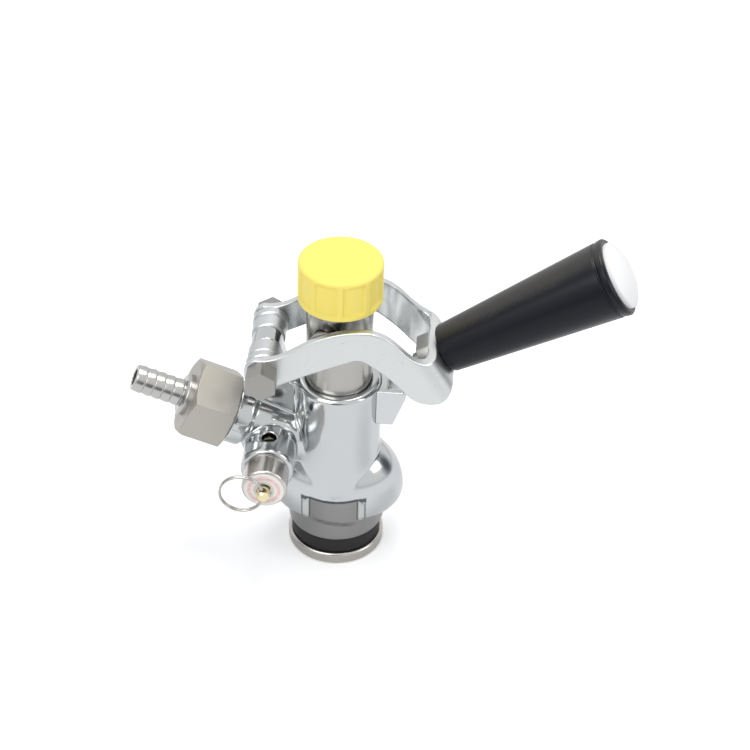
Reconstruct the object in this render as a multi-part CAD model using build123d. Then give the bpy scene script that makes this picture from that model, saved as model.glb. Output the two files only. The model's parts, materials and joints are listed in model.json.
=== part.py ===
from build123d import *
import os
from math import cos, sin, pi, radians, sqrt

# Keg coupler with a lift lever, a gas inlet, a relief valve and a capped beer outlet.
# Millimetres and degrees.  +Z is up the beer tube, +X points to the handle, and the
# origin is on the beer tube's axis at the bottom of the retaining ring.

os.makedirs("parts", exist_ok=True)

# ---------------------------------------------------------------- clearances (radial)
slide_gap = 0.05        # sliding bores: beer tube, stems, drawn stud
run_gap = 0.05          # turning pins and bushes
thread_gap = 0.10       # plain stand-in cylinders of screwed joints
seat_gap = 0.05         # faces of different moving pieces that meet at rest
rubber_gap = 0.05       # O-rings beside a sliding tube

# ---------------------------------------------------------------- beer tube (probe)
probe_r = 12.4          # outside of the beer tube
probe_shoulder_z = 116.0    # where the outlet thread starts
probe_top_z = 127.5     # top of the outlet thread
outlet_thread_r = 11.4  # G 5/8 outlet thread
beer_bore_r = 4.0       # beer way
ball_bore_r = 6.4       # chamber of the check ball
ball_seat_z = 108.5     # edge that the ball sits on
seat_land_r = 4.3       # short land under the ball's seat
seat_land_depth = 3.0
ball_r = 5.0
ball_lift = 4.0         # free travel of the ball
cage_thick = 2.0        # retaining washer over the ball
cage_hole_r = 3.0
probe_waist_r = 8.4     # thin stretch inside the gas chamber
probe_waist_top_z = 62.0
probe_foot_r = 10.8
probe_foot_top_z = 15.0
probe_foot_z = 7.0      # underside of the metal foot
probe_neck_r = 7.2      # neck that holds the foot seal
probe_lip_r = 8.4       # lip under the foot seal
probe_lip_thick = 1.2
foot_seal_thick = 4.3
foot_seal_r = 11.2

# ---------------------------------------------------------------- main casting
body_r = 16.2           # straight barrel
body_top_z = 79.6
body_bevel = 1.2        # bevel round the barrel's top
chamber_r = 13.9        # gas chamber in the barrel
chamber_top_z = 64.0
spigot_r = 18.6         # plain cylinder that enters the keg neck
spigot_bottom_z = 12.2
lip_z = 32.6            # underside of the barrel's flared lip
lip_r = 19.6
flare_top_z = 52.0      # where the flare leaves the barrel
ear_r = 25.9            # bayonet ears
ear_bottom_z = 20.5
ear_bottom_r = 22.6
ear_top_z = 47.0
ear_wide_z = 27.0       # height of the widest ring of the ears
bell_squash = 0.735     # the bell's reach along Y as a share of its reach along X
window_half = 12.4      # half width of the arched window under each lip
window_corner_r = 5.0
window_floor_y = 16.1   # flat faces beside the plain cylinder
oring_wire = 2.6        # section of the barrel's O-rings
oring_z = (65.4, 75.4)  # lower faces of the two O-ring grooves

# ---------------------------------------------------------------- retaining ring and its seal
ring_flange_thick = 4.9
ring_sleeve_r = 15.0
ring_sleeve_top_z = 22.0
ring_bore_r = 12.9
ring_edge = 0.6
base_seal_r = 17.3

# ---------------------------------------------------------------- lever pivot
pivot_x = -27.0
pivot_z = 92.1
bolt_r = 3.5
bolt_af = 11.0          # across flats of the head and the nut
bolt_head_height = 7.5
bolt_nut_height = 3.6
bolt_end = 0.8          # bolt showing past its nut
lug_r = 6.0
lug_half = 4.0          # half the lug's thickness
spacer_r = 6.4
spacer_length = 7.2
washer_r = 6.7
spacer_edge = 0.6       # chamfer on the spacers' and washers' rims

# ---------------------------------------------------------------- lever yoke
arm_inner = 15.2        # half the space between the arms
sheet = 3.0             # sheet thickness
yoke_bend_r = 7.5       # outside bend at the cross wall
arm_end_r = 6.9
lever_slope = 31.8      # angle of the handle above level, and the lever's travel
wall_x = 39.3           # outer face of the cross wall, on the handle's axis
wall_z = 95.3
wall_up = 5.6           # cross wall above the handle's axis
wall_down = 7.2         # and below it
yoke_top = (            # top edge of the arms, from the pivot to the cross wall
    (-21.5, 99.9), (-11.2, 106.7), (-3.4, 110.9), (7.5, 113.6), (13.6, 113.3),
    (19.0, 110.9), (25.3, 104.9), (30.2, 101.2),
)
yoke_low = (            # and their bottom edge
    (-10.2, 93.0), (3.2, 99.3), (8.4, 100.9), (12.6, 98.9), (23.7, 89.2),
    (28.4, 84.5), (34.2, 82.5), (39.4, 83.7),
)
drive_pin_x = -5.0
drive_pin_z = 105.5
drive_pin_r = 3.0
drive_collar_r = 5.0
drive_collar_thick = 1.2
drive_pin_depth = 2.6   # how far the pins reach into the tube's slots
slot_play = 0.45        # room above and below a pin in its slot

# ---------------------------------------------------------------- handle
grip_length = 71.4
grip_small_r = 9.3
grip_large_r = 14.8
grip_edge = 1.2
grip_rim = 4.0          # plain rim at the wide end, past the fine groove
grip_groove = 0.5
plug_r = 12.6
plug_seat = 3.0         # depth of the plug's seat in the grip
plug_proud = 5.0        # how far its dome stands out
plug_rim = 1.6          # upright edge of the plug outside the grip
stud_r = 3.0
stud_tip = 13.0         # latch tip, inside the cross wall's outer face
stud_collar_r = 4.4
stud_collar_thick = 3.0
stud_grip = 12.0        # threaded length in the grip's core
handle_pull = 6.0       # travel of the drawn handle
guide_r = 6.2
guide_bore_r = 4.9
guide_length = 34.0
guide_cap = 3.0
guide_shank_r = 5.4
guide_nut_r = 8.2
guide_nut_height = 5.5
grip_wall_gap = 0.3
handle_spring_wire = 0.8
handle_spring_turns = 4

# ---------------------------------------------------------------- catch on the barrel
catch_half = 7.0        # half the width of the catch
catch_sheet = 2.2
catch_web = 2.4         # how far its web stands off the barrel
catch_bottom_z = 62.8
catch_top_z = 78.2
catch_screw_z = 71.6
catch_foot = 4.9        # how far the cheeks stand off the barrel at their foot
catch_hook = 9.6        # and at their hook
catch_top = 8.6         # and at their top
catch_screw_r = 1.6

# ---------------------------------------------------------------- gas inlet
inlet_axis_z = 44.8     # height where the inlet's axis crosses the tube's axis
inlet_rise = 23.6
inlet_swing = 5.0       # turn of the inlet towards -Y
inlet_boss_r = 10.2
inlet_collar_r = 12.2
inlet_collar_at = 37.0  # start of the collar, along the inlet's axis
inlet_collar_long = 7.5
inlet_bore_r = 6.0
inlet_thread_r = 11.4
inlet_thread_long = 10.5
nut_af = 28.0
nut_at = 45.4
nut_long = 16.8
nut_wall = 4.4          # end wall that holds the tail
nut_chamfer = 1.3
tail_bore_r = 3.1
tail_flange_r = 9.6
tail_flange_thick = 3.6
tail_collar_r = 8.0
tail_stem_r = 4.75
tail_barb_r = 5.3
tail_barbs = 5
tail_end = 83.6         # end of the tail, along the inlet's axis
tail_washer_thick = 1.8
duckbill_long = 9.0
duckbill_r = 5.2
duckbill_wall = 1.2
duckbill_tip_r = 2.6

# ---------------------------------------------------------------- relief valve
relief_at = 27.0        # where it leaves the inlet, along the inlet's axis
relief_drop = 3.2        # how far its axis lies under the inlet's axis
relief_boss_r = 10.0
relief_root_r = 11.6
relief_root_y = -10.5   # front of the root flange
relief_boss_y = -26.4   # rim of the chrome boss
relief_insert_r = 8.5
relief_face_y = -36.4
relief_wall = 1.5
relief_bore_r = 5.6     # bore down to the valve seat
relief_seat_y = -14.0
relief_port_r = 2.8
vent_r = 2.75
vent_y = -17.5
label_r = 7.4
label_thick = 0.5
stem_r = 1.5
stem_head_r = 2.4
stem_head_long = 4.6
stem_disc_r = 4.6
stem_disc_thick = 1.6
relief_seal_thick = 1.8
relief_spring_wire = 0.7
relief_spring_turns = 4
pull_ring_r = 8.1       # middle of the ring's wire
pull_wire_r = 0.85
ring_hole_r = 1.35

# ---------------------------------------------------------------- dust cap
cap_r = 15.7
cap_bottom_z = 116.3
cap_top_z = 132.9
cap_roof = 2.6
cap_edge = 1.5
cap_flutes = 9
cap_flute_depth = 0.9
cap_rib_width = 2.4
cap_band = 2.2          # plain bands below and above the flutes
liner_thick = 2.0

# ---------------------------------------------------------------- sizes that follow
arm_outer = arm_inner + sheet
wall_dir = (-sin(radians(lever_slope)), 0, cos(radians(lever_slope)))
handle_dir = (cos(radians(lever_slope)), 0, sin(radians(lever_slope)))
inlet_dir = (
    -cos(radians(inlet_rise)) * cos(radians(inlet_swing)),
    -cos(radians(inlet_rise)) * sin(radians(inlet_swing)),
    sin(radians(inlet_rise)),
)
handle_frame = Location(Plane(origin=(wall_x, 0, wall_z), x_dir=(0, 1, 0), z_dir=handle_dir))
inlet_frame = Location(Plane(origin=(0, 0, inlet_axis_z), x_dir=(0, 0, 1), z_dir=inlet_dir))
relief_x = inlet_dir[0] * relief_at
relief_z = inlet_axis_z + inlet_dir[2] * relief_at - relief_drop
relief_frame = Location(Plane(origin=(relief_x, 0, relief_z), x_dir=(0, 0, 1), z_dir=(0, -1, 0)))
pivot_frame = Location(Plane(origin=(pivot_x, 0, pivot_z), x_dir=(1, 0, 0), z_dir=(0, -1, 0)))


# ---------------------------------------------------------------- shared shapes
def turned(points):
    """A solid turned about Z from its (radius, height) outline."""
    outline = Polyline([(r, 0, z) for r, z in points], close=True)
    return revolve(make_face(outline), Axis.Z)


def disc(radius, low, high):
    """A cylinder about Z between two heights."""
    return Pos(0, 0, low) * Cylinder(radius, high - low, align=(Align.CENTER, Align.CENTER, Align.MIN))


def ring(outer, inner, low, high):
    """A tube about Z between two heights."""
    return disc(outer, low, high) - disc(inner, low - 1, high + 1)


def hexagon(across_flats, low, high, corner_angle=0):
    """A hexagonal prism about Z between two heights."""
    side = RegularPolygon(across_flats / 2, 6, major_radius=False, rotation=corner_angle)
    return Pos(0, 0, low) * extrude(side, high - low)


def coil(radius, wire, low, high, turns):
    """A round-wire spring about Z that fills the space between two heights."""
    path = Helix((high - low - wire) / turns, high - low - wire, radius)
    section = Plane(path @ 0, z_dir=path % 0) * Circle(wire / 2)
    return Pos(0, 0, low + wire / 2) * sweep(section, path)


def pair(solid):
    """A solid with its mirror image across the XZ plane."""
    return solid + mirror(solid, Plane.XZ)


# ---------------------------------------------------------------- main casting
def bell():
    """Bell of the two bayonet ears: a turned form drawn in across Y."""
    widest = (ear_r, 0, ear_wide_z)
    upper = ThreePointArc((body_r - 0.2, 0, ear_top_z), (ear_r - 2.6, 0, ear_wide_z + 11.4), widest)
    lower = TangentArc(widest, (ear_bottom_r, 0, ear_bottom_z), tangent=upper % 1)
    rest = Polyline(
        (ear_bottom_r, 0, ear_bottom_z),
        (0, 0, ear_bottom_z),
        (0, 0, ear_top_z),
        (body_r - 0.2, 0, ear_top_z),
    )
    return scale(revolve(make_face([upper, lower, rest]), Axis.Z), by=(1, bell_squash, 1))


def window_cutter():
    """Arched pocket in the bell's -Y side, down to the plain cylinder."""
    height = lip_z - ear_bottom_z + 2
    arch = Pos(0, lip_z - height / 2) * Rectangle(2 * window_half, height)
    arch = fillet(arch.vertices().sort_by(Axis.Y)[-2:], window_corner_r)
    face = Plane(origin=(0, -window_floor_y, 0), x_dir=(1, 0, 0), z_dir=(0, -1, 0)) * arch
    return extrude(face, ear_r) - disc(spigot_r, spigot_bottom_z, ear_top_z)


def barrel():
    """The barrel, its flared lip and the plain cylinder below it."""
    flare = TangentArc((body_r, 0, flare_top_z), (lip_r, 0, lip_z), tangent=(0, 0, -1))
    rest = Polyline(
        (body_r, 0, flare_top_z),
        (body_r, 0, body_top_z - body_bevel),
        (body_r - body_bevel, 0, body_top_z),
        (0, 0, body_top_z),
        (0, 0, spigot_bottom_z),
        (spigot_r - ring_edge, 0, spigot_bottom_z),
        (spigot_r, 0, spigot_bottom_z + ring_edge),
        (spigot_r, 0, lip_z),
        (lip_r, 0, lip_z),
    )
    return revolve(make_face([flare, rest]), Axis.Z)


def pivot_lug():
    """Upright web from the barrel to the lever's pivot, with a round eye."""
    web = make_face(Polyline([
        (pivot_x - lug_r + 0.3, 0, pivot_z - 1.5),
        (pivot_x - 1.5, 0, body_top_z - 14),
        (-body_r + 3, 0, body_top_z - 24),
        (-body_r + 3, 0, body_top_z - 3),
        (-body_r - 1.5, 0, body_top_z - 1.5),
        (pivot_x + lug_r - 0.3, 0, pivot_z + 1.0),
    ], close=True))
    plate = extrude(web, lug_half, both=True)
    eye = pivot_frame * disc(lug_r, -lug_half, lug_half)
    return plate + eye


def inlet_boss():
    """Gas inlet arm with its collar and outside thread."""
    return inlet_frame * turned([
        (0, 0),
        (inlet_boss_r, 0),
        (inlet_boss_r, inlet_collar_at),
        (inlet_collar_r, inlet_collar_at + 1.5),
        (inlet_collar_r, inlet_collar_at + inlet_collar_long),
        (inlet_thread_r, inlet_collar_at + inlet_collar_long),
        (inlet_thread_r, inlet_collar_at + inlet_collar_long + inlet_thread_long),
        (0, inlet_collar_at + inlet_collar_long + inlet_thread_long),
    ])


def relief_boss():
    """Relief valve housing on the inlet arm's -Y side."""
    return relief_frame * turned([
        (0, 0),
        (relief_root_r - 1.2, 0),
        (relief_root_r, -relief_root_y - 4),
        (relief_root_r, -relief_root_y - 1),
        (relief_boss_r, -relief_root_y),
        (relief_boss_r, -relief_boss_y - 0.8),
        (relief_boss_r - 0.8, -relief_boss_y),
        (0, -relief_boss_y),
    ])


def casting_bores():
    """Everything that is bored out of the casting."""
    groove = [ring(probe_r + oring_wire, probe_r - 1, z, z + oring_wire) for z in oring_z]
    tube_way = disc(probe_r + slide_gap, chamber_top_z - 1, body_top_z + 1)
    chamber = disc(chamber_r, spigot_bottom_z - 1, chamber_top_z)
    socket = disc(ring_sleeve_r + thread_gap, spigot_bottom_z - 1, ring_sleeve_top_z + 0.5)
    inlet = inlet_frame * disc(inlet_bore_r, 0, tail_end)
    relief = relief_frame * disc(relief_port_r, 0, -relief_seat_y + 1)
    relief_chamber = relief_frame * disc(relief_bore_r, -relief_seat_y, -relief_boss_y + 1)
    insert_seat = relief_frame * disc(
        relief_insert_r - relief_wall + thread_gap, vent_seat(), -relief_boss_y + 1)
    vent = Pos(relief_x, vent_y, relief_z) * disc(vent_r, 0, relief_boss_r + 2)
    eye = pivot_frame * disc(bolt_r + run_gap, -lug_half - 1, lug_half + 1)
    screw = Pos(0, 0, catch_screw_z) * Rot(0, 90, 0) * disc(catch_screw_r + thread_gap, chamber_r - 0.5, body_r + 1)
    return groove + [tube_way, chamber, socket, inlet, relief, relief_chamber, insert_seat, vent, eye, screw]


def vent_seat():
    """How deep the relief insert's thread reaches, clear of the vent hole."""
    return -vent_y + vent_r + 1.0


def main_casting():
    """The chrome-plated casting."""
    arms = inlet_boss() + relief_boss()
    solid = barrel() + (bell() - pair(window_cutter())) + pivot_lug() + arms
    for cutter in casting_bores():
        solid = solid - cutter
    return solid


# ---------------------------------------------------------------- retaining ring and seals
def retaining_ring():
    """Stainless ring that screws up into the casting and holds the base seal."""
    return turned([
        (ring_bore_r, 0),
        (spigot_r - ring_edge, 0),
        (spigot_r, ring_edge),
        (spigot_r, ring_flange_thick - ring_edge),
        (spigot_r - ring_edge, ring_flange_thick),
        (ring_sleeve_r, ring_flange_thick),
        (ring_sleeve_r, ring_sleeve_top_z),
        (ring_bore_r, ring_sleeve_top_z),
    ])


def base_seal():
    """Black rubber ring that seals in the keg neck."""
    return turned([
        (ring_sleeve_r, ring_flange_thick),
        (base_seal_r - 0.4, ring_flange_thick),
        (base_seal_r, ring_flange_thick + 0.8),
        (base_seal_r, spigot_bottom_z - 0.8),
        (base_seal_r - 0.4, spigot_bottom_z),
        (ring_sleeve_r, spigot_bottom_z),
    ])


def barrel_orings():
    """Two O-rings in the barrel's grooves, round the beer tube."""
    middle = probe_r + rubber_gap + (oring_wire - rubber_gap) / 2
    wire = (oring_wire - rubber_gap) / 2
    rings = [Pos(0, 0, z + oring_wire / 2) * Torus(middle, wire) for z in oring_z]
    return rings[0] + rings[1]


# ---------------------------------------------------------------- beer tube and what is in it
def slot_cutter():
    """Level slot for one drive pin on the tube's -Y side."""
    reach = sqrt((drive_pin_x - pivot_x) ** 2 + (drive_pin_z - pivot_z) ** 2)
    low_x = drive_pin_x - drive_pin_r - slot_play
    high_x = pivot_x + reach + drive_pin_r + slot_play
    height = 2 * (drive_pin_r + slot_play)
    floor_y = -sqrt(probe_r ** 2 - drive_pin_x ** 2) + drive_pin_depth + slot_play
    profile = SlotOverall(high_x - low_x, height)
    plane = Plane(origin=((low_x + high_x) / 2, floor_y, drive_pin_z), x_dir=(1, 0, 0), z_dir=(0, -1, 0))
    return extrude(plane * profile, 2 * probe_r)


def beer_tube():
    """Stainless tube that the lever drives down to open the keg."""
    solid = turned([
        (beer_bore_r, probe_foot_z - foot_seal_thick - probe_lip_thick),
        (probe_lip_r, probe_foot_z - foot_seal_thick - probe_lip_thick),
        (probe_lip_r, probe_foot_z - foot_seal_thick),
        (probe_neck_r, probe_foot_z - foot_seal_thick),
        (probe_neck_r, probe_foot_z),
        (probe_foot_r, probe_foot_z),
        (probe_foot_r, probe_foot_top_z - 2),
        (probe_waist_r, probe_foot_top_z),
        (probe_waist_r, probe_waist_top_z - 4),
        (probe_r, probe_waist_top_z),
        (probe_r, probe_shoulder_z - 0.5),
        (probe_r - 0.5, probe_shoulder_z),
        (outlet_thread_r, probe_shoulder_z),
        (outlet_thread_r, probe_top_z - 0.6),
        (outlet_thread_r - 0.6, probe_top_z),
        (ball_bore_r, probe_top_z),
        (ball_bore_r, ball_seat_z + ball_bore_r - seat_land_r),
        (seat_land_r, ball_seat_z),
        (seat_land_r, ball_seat_z - seat_land_depth),
        (beer_bore_r, ball_seat_z - seat_land_depth),
    ])
    return solid - pair(slot_cutter())


def foot_seal():
    """Rubber seal on the beer tube's foot, which opens the keg valve."""
    low = probe_foot_z - foot_seal_thick
    return turned([
        (probe_neck_r, low),
        (foot_seal_r - 1.4, low),
        (foot_seal_r, low + 1.4),
        (foot_seal_r, probe_foot_z),
        (probe_neck_r, probe_foot_z),
    ])


def ball_centre_z():
    """Height of the ball's centre on its seat."""
    return ball_seat_z + sqrt(ball_r ** 2 - seat_land_r ** 2) + seat_gap


def check_ball():
    """Ball that stops beer running back."""
    return Pos(0, 0, ball_centre_z()) * Sphere(ball_r)


def ball_cage():
    """Pressed washer that keeps the ball in its chamber."""
    low = ball_centre_z() + ball_r + ball_lift + 0.1
    washer = ring(ball_bore_r, cage_hole_r, low, low + cage_thick)
    notch = Pos(0, 0, low - 1) * extrude(Rectangle(2 * (ball_bore_r - 1.6), 1.8), cage_thick + 2)
    return washer - notch - Rot(0, 0, 90) * notch


# ---------------------------------------------------------------- dust cap
def dust_cap():
    """Yellow screw cap with moulded flutes."""
    cap = turned([
        (outlet_thread_r + thread_gap, cap_bottom_z),
        (cap_r - 0.4, cap_bottom_z),
        (cap_r, cap_bottom_z + 0.4),
        (cap_r, cap_top_z),
        (0, cap_top_z),
        (0, cap_top_z - cap_roof),
        (outlet_thread_r + thread_gap, cap_top_z - cap_roof),
    ])
    top_edge = cap.edges().sort_by(Axis.Z)[-1]
    cap = fillet(top_edge, cap_edge)
    rib_angle = cap_rib_width / cap_r * 180 / pi
    flute = make_face(Polyline([
        (cap_r - cap_flute_depth, 0, cap_bottom_z + cap_band),
        (cap_r + 1, 0, cap_bottom_z + cap_band),
        (cap_r + 1, 0, cap_top_z - cap_band),
        (cap_r - cap_flute_depth, 0, cap_top_z - cap_band),
    ], close=True))
    step = 360 / cap_flutes
    cutter = Rot(0, 0, rib_angle / 2) * revolve(flute, Axis.Z, step - rib_angle)
    for number in range(cap_flutes):
        cap = cap - Rot(0, 0, -90 + 3 + number * step) * cutter
    return cap


def cap_liner():
    """Rubber washer that the cap presses on the outlet's rim."""
    return disc(outlet_thread_r - 0.6, probe_top_z + seat_gap, probe_top_z + seat_gap + liner_thick)


# ---------------------------------------------------------------- lever yoke
def yoke_outline():
    """Side view of the yoke as one closed face in the XZ plane."""
    across = Vector(wall_dir)
    wall_foot = Vector(wall_x, 0, wall_z) - across * wall_down
    wall_head = Vector(wall_x, 0, wall_z) + across * wall_up
    end_angle = radians(118)
    low_angle = radians(-62)
    start = (pivot_x + arm_end_r * cos(end_angle), 0, pivot_z + arm_end_r * sin(end_angle))
    middle = (pivot_x + arm_end_r * cos(radians(208)), 0, pivot_z + arm_end_r * sin(radians(208)))
    finish = (pivot_x + arm_end_r * cos(low_angle), 0, pivot_z + arm_end_r * sin(low_angle))
    top = Spline(start, *[(x, 0, z) for x, z in yoke_top], (wall_head.X, 0, wall_head.Z))
    low = Spline(finish, *[(x, 0, z) for x, z in yoke_low], (wall_foot.X, 0, wall_foot.Z))
    end = ThreePointArc(start, middle, finish)
    wall = Line((wall_foot.X, 0, wall_foot.Z), (wall_head.X, 0, wall_head.Z))
    return make_face([end, low, wall, top])


def bent_strip():
    """The sheet's U shape, seen along the cross wall and much taller than the yoke."""
    reach = wall_x - pivot_x + 3 * arm_end_r
    outer = Rectangle(reach, 2 * arm_outer, align=(Align.MAX, Align.CENTER))
    inner = Pos(-sheet, 0) * Rectangle(reach, 2 * arm_inner, align=(Align.MAX, Align.CENTER))
    outer = fillet(outer.vertices().sort_by(Axis.X)[-2:], yoke_bend_r)
    inner = fillet(inner.vertices().sort_by(Axis.X)[-2:], yoke_bend_r - sheet)
    strip = extrude(outer - inner, 3 * arm_outer, both=True)
    frame = Location(Plane(origin=(wall_x, 0, wall_z), x_dir=handle_dir, z_dir=wall_dir))
    return frame * strip


def lever_yoke():
    """Zinc-plated yoke: two arms and the cross wall that carries the handle."""
    solid = extrude(yoke_outline(), arm_outer, both=True) & bent_strip()
    bolt_hole = pivot_frame * disc(bolt_r + slide_gap, -arm_outer - 1, arm_outer + 1)
    guide_hole = handle_frame * disc(guide_shank_r, -sheet - 1, 1)
    return solid - bolt_hole - guide_hole


def drive_pins():
    """Two pins welded inside the arms, which drive the beer tube."""
    tip = sqrt(probe_r ** 2 - drive_pin_x ** 2) - drive_pin_depth
    pin = disc(drive_pin_r, tip, arm_inner) + disc(drive_collar_r, arm_inner - drive_collar_thick, arm_inner)
    frame = Location(Plane(origin=(drive_pin_x, 0, drive_pin_z), x_dir=(1, 0, 0), z_dir=(0, -1, 0)))
    return pair(frame * pin)


# ---------------------------------------------------------------- pivot hardware
def pivot_bolt():
    """Hexagon bolt through both arms and the lug."""
    head = hexagon(bolt_af, arm_outer, arm_outer + bolt_head_height, 30)
    shank = disc(bolt_r, -arm_outer - bolt_nut_height - bolt_end, arm_outer)
    return pivot_frame * (head + shank)


def pivot_nut():
    """Lock nut on the bolt's far end."""
    nut = hexagon(bolt_af, -arm_outer - bolt_nut_height, -arm_outer, 30)
    return pivot_frame * (nut - disc(bolt_r, -arm_outer - bolt_nut_height - 1, -arm_outer + 1))


def chamfered_bush(radius, low, high):
    """A bush round the bolt with both rims chamfered."""
    return turned([
        (bolt_r + run_gap, low),
        (radius - spacer_edge, low),
        (radius, low + spacer_edge),
        (radius, high - spacer_edge),
        (radius - spacer_edge, high),
        (bolt_r + run_gap, high),
    ])


def pivot_spacers():
    """Two bushes, one each side of the lug."""
    return pair(pivot_frame * chamfered_bush(spacer_r, lug_half, lug_half + spacer_length))


def pivot_washers():
    """Two thick washers between the bushes and the arms."""
    bush_end = lug_half + spacer_length
    return pair(pivot_frame * chamfered_bush(washer_r, bush_end, arm_inner - seat_gap))


# ---------------------------------------------------------------- handle
def handle_guide():
    """Tube screwed to the cross wall, in which the stud slides."""
    return handle_frame * turned([
        (stud_r + slide_gap, -sheet - guide_nut_height - 1),
        (guide_shank_r, -sheet - guide_nut_height - 1),
        (guide_shank_r, 0),
        (guide_r, 0),
        (guide_r, guide_length),
        (stud_r + slide_gap, guide_length),
        (stud_r + slide_gap, guide_length - guide_cap),
        (guide_bore_r, guide_length - guide_cap),
        (guide_bore_r, 2),
        (stud_r + slide_gap, 2),
    ])


def guide_nut():
    """Round dark nut that clamps the guide inside the cross wall."""
    nut = ring(guide_nut_r, guide_shank_r, -sheet - guide_nut_height, -sheet)
    flat = Pos(0, 0, -sheet - guide_nut_height - 1) * Box(
        4 * guide_nut_r, 4 * guide_nut_r, guide_nut_height + 2, align=(Align.CENTER, Align.MIN, Align.MIN))
    for side in (0, 180):
        nut = nut - Rot(0, 0, side) * Pos(0, guide_nut_r - 1.2, 0) * flat
    return handle_frame * nut


def handle_stud():
    """Rod fixed in the grip: its inner tip latches under the catch."""
    shelf = 2 + seat_gap
    return handle_frame * turned([
        (0, -stud_tip),
        (stud_r - 0.8, -stud_tip),
        (stud_r, -stud_tip + 0.8),
        (stud_r, shelf),
        (stud_collar_r, shelf),
        (stud_collar_r, shelf + stud_collar_thick),
        (stud_r, shelf + stud_collar_thick),
        (stud_r, guide_length + handle_pull + stud_grip),
        (0, guide_length + handle_pull + stud_grip),
    ])


def handle_spring():
    """Spring in the guide, which draws the latch tip in."""
    low = 2 + seat_gap + stud_collar_thick
    high = guide_length - guide_cap
    middle = (stud_r + slide_gap + guide_bore_r) / 2
    return handle_frame * coil(middle, handle_spring_wire, low, high, handle_spring_turns)


def handle_grip():
    """Black moulded grip."""
    shaft_end = grip_length - grip_rim
    edge_r = grip_small_r + (grip_large_r - grip_small_r) * shaft_end / grip_length
    bore_end = guide_length + handle_pull
    return handle_frame * turned([
        (guide_r + 0.3, grip_wall_gap),
        (grip_small_r - grip_edge, grip_wall_gap),
        (grip_small_r - 0.3 * grip_edge, grip_wall_gap + 0.3 * grip_edge),
        (grip_small_r, grip_wall_gap + grip_edge),
        (edge_r, shaft_end),
        (edge_r - grip_groove, shaft_end + 0.3),
        (edge_r - grip_groove, shaft_end + 0.9),
        (edge_r + 0.1, shaft_end + 1.2),
        (grip_large_r, grip_length - 0.8),
        (grip_large_r - 0.8, grip_length),
        (plug_r, grip_length),
        (plug_r, grip_length - plug_seat),
        (0, grip_length - plug_seat),
        (0, bore_end + stud_grip),
        (stud_r, bore_end + stud_grip),
        (stud_r, bore_end),
        (guide_r + 0.3, bore_end),
    ])


def grip_end_plug():
    """White plug with a low dome in the grip's wide end."""
    rim = grip_length + plug_rim
    crown = grip_length + plug_proud
    height = crown - rim
    dome_r = (plug_r ** 2 + height ** 2) / (2 * height)
    half_way = sqrt(dome_r ** 2 - (plug_r / 2) ** 2) - dome_r
    dome = ThreePointArc((plug_r, 0, rim), (plug_r / 2, 0, crown + half_way), (0, 0, crown))
    rest = Polyline(
        (0, 0, crown),
        (0, 0, grip_length - plug_seat),
        (plug_r, 0, grip_length - plug_seat),
        (plug_r, 0, rim),
    )
    return handle_frame * revolve(make_face([dome, rest]), Axis.Z)


# ---------------------------------------------------------------- catch
def catch_bracket():
    """Folded plate on the barrel with two hooked cheeks."""
    side = make_face(Polyline([
        (0, 0, catch_bottom_z),
        (body_r + catch_foot, 0, catch_bottom_z),
        (body_r + catch_hook, 0, catch_top_z - catch_sheet),
        (body_r + catch_top, 0, catch_top_z),
        (0, 0, catch_top_z),
    ], close=True))
    block = extrude(side, catch_half, both=True)
    web_front = body_r + catch_web
    hollow = Pos(web_front, 0, 0) * Box(
        4 * body_r, 2 * (catch_half - catch_sheet), 4 * catch_top_z, align=(Align.MIN, Align.CENTER, Align.CENTER))
    screw = Pos(0, 0, catch_screw_z) * Rot(0, 90, 0) * disc(catch_screw_r + thread_gap, 0, web_front + 1)
    return block - hollow - screw - disc(body_r, 0, body_top_z + 5)


def catch_screw():
    """Small screw that holds the catch to the barrel."""
    face = body_r + catch_web
    screw = disc(catch_screw_r, chamber_r - 0.3, face) + disc(2 * catch_screw_r, face, face + 1.4)
    recess = Pos(0, 0, face + 0.7) * extrude(RegularPolygon(catch_screw_r, 6), 1)
    return Pos(0, 0, catch_screw_z) * Rot(0, 90, 0) * (screw - recess)


# ---------------------------------------------------------------- gas inlet pieces
def union_nut():
    """Hexagon nut that draws the tail onto the inlet's thread."""
    low = nut_at
    high = nut_at + nut_long
    corner = nut_af / 2 / cos(radians(30))
    blank = hexagon(nut_af, low, high) & turned([
        (0, low),
        (corner - nut_chamfer, low),
        (corner, low + 0.6 * nut_chamfer),
        (corner, high - nut_chamfer),
        (corner - 2 * nut_chamfer, high),
        (0, high),
    ])
    thread = disc(inlet_thread_r + thread_gap, low - 1, high - nut_wall)
    hole = disc(tail_collar_r + run_gap, low, high + 1)
    return inlet_frame * (blank - thread - hole)


def thread_end():
    """Where the inlet's thread ends, along the inlet's axis."""
    return inlet_collar_at + inlet_collar_long + inlet_thread_long


def hose_tail():
    """Barbed tail held by the nut."""
    flange_top = nut_at + nut_long - nut_wall - seat_gap
    flange_low = thread_end() + tail_washer_thick
    collar_end = nut_at + nut_long + 2.4
    points = [
        (tail_bore_r, flange_low),
        (tail_flange_r, flange_low),
        (tail_flange_r, flange_top),
        (tail_collar_r, flange_top),
        (tail_collar_r, collar_end - 0.8),
        (tail_collar_r - 0.8, collar_end),
        (tail_stem_r, collar_end),
    ]
    pitch = (tail_end - collar_end - 0.6) / tail_barbs
    for number in range(tail_barbs):
        start = collar_end + 0.6 + number * pitch
        points += [(tail_stem_r, start), (tail_barb_r, start + 0.1), (tail_barb_r, start + 0.7)]
        points += [(tail_stem_r + 0.15, start + pitch - 0.1)]
    points += [(tail_stem_r - 0.4, tail_end), (tail_bore_r, tail_end)]
    return inlet_frame * turned(points)


def tail_washer():
    """Sealing washer between the inlet's end and the tail."""
    return inlet_frame * ring(tail_flange_r, inlet_bore_r, thread_end(), thread_end() + tail_washer_thick)


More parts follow.
